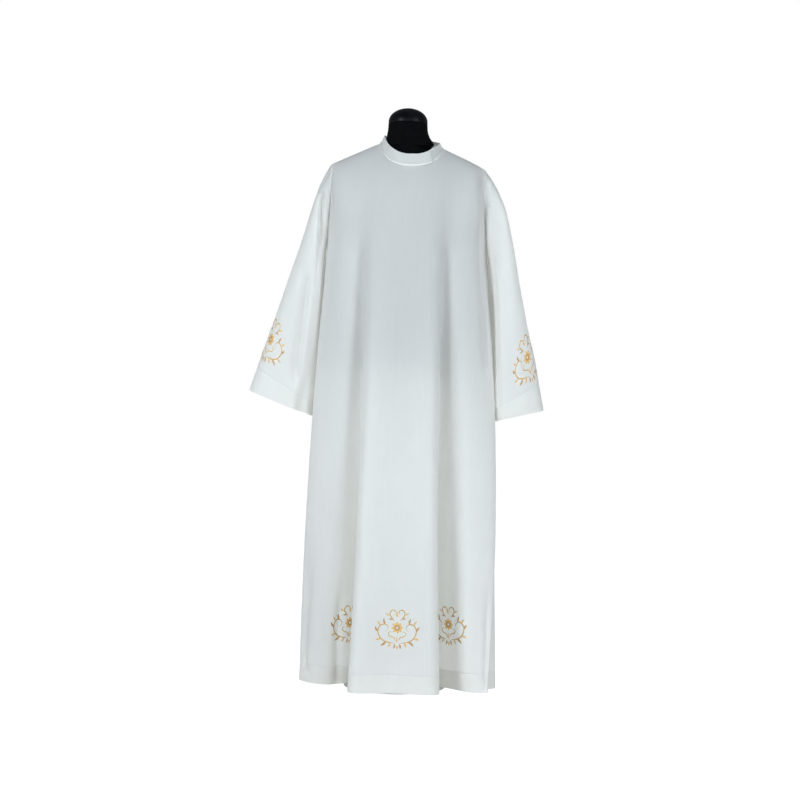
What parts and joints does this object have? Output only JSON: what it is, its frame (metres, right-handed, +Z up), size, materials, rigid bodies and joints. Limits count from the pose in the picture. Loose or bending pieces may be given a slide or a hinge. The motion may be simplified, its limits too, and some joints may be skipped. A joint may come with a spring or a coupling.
{
  "type": "alb robe on dress form",
  "caption": "Long white alb with wide sleeves, a low wrapped collar and gold hem and cuff motifs, standing on a black limbless dress form.",
  "frame": {"origin": "middle of the stand base's underside, on the floor", "axes": "+Z up, the front of the robe faces -Y, +X towards the wearer's left"},
  "size_m": [0.8129, 0.462, 1.5935],
  "materials": {
    "alb_cloth": "fine plain-woven cloth, matt with a slight sheen",
    "form_cover": "black stretch jersey over foam",
    "form_cap": "satin black",
    "form_stand": "pale grey powder coat"
  },
  "bodies": {
    "root": {"front_panel": "alb_cloth", "back_panel": "alb_cloth", "sleeve_right": "alb_cloth", "sleeve_left": "alb_cloth", "collar_band": "alb_cloth", "form_torso": "form_cover", "form_neck_cap": "form_cap", "form_pole": "form_stand", "form_base": "form_stand"}
  },
  "joints": []
}
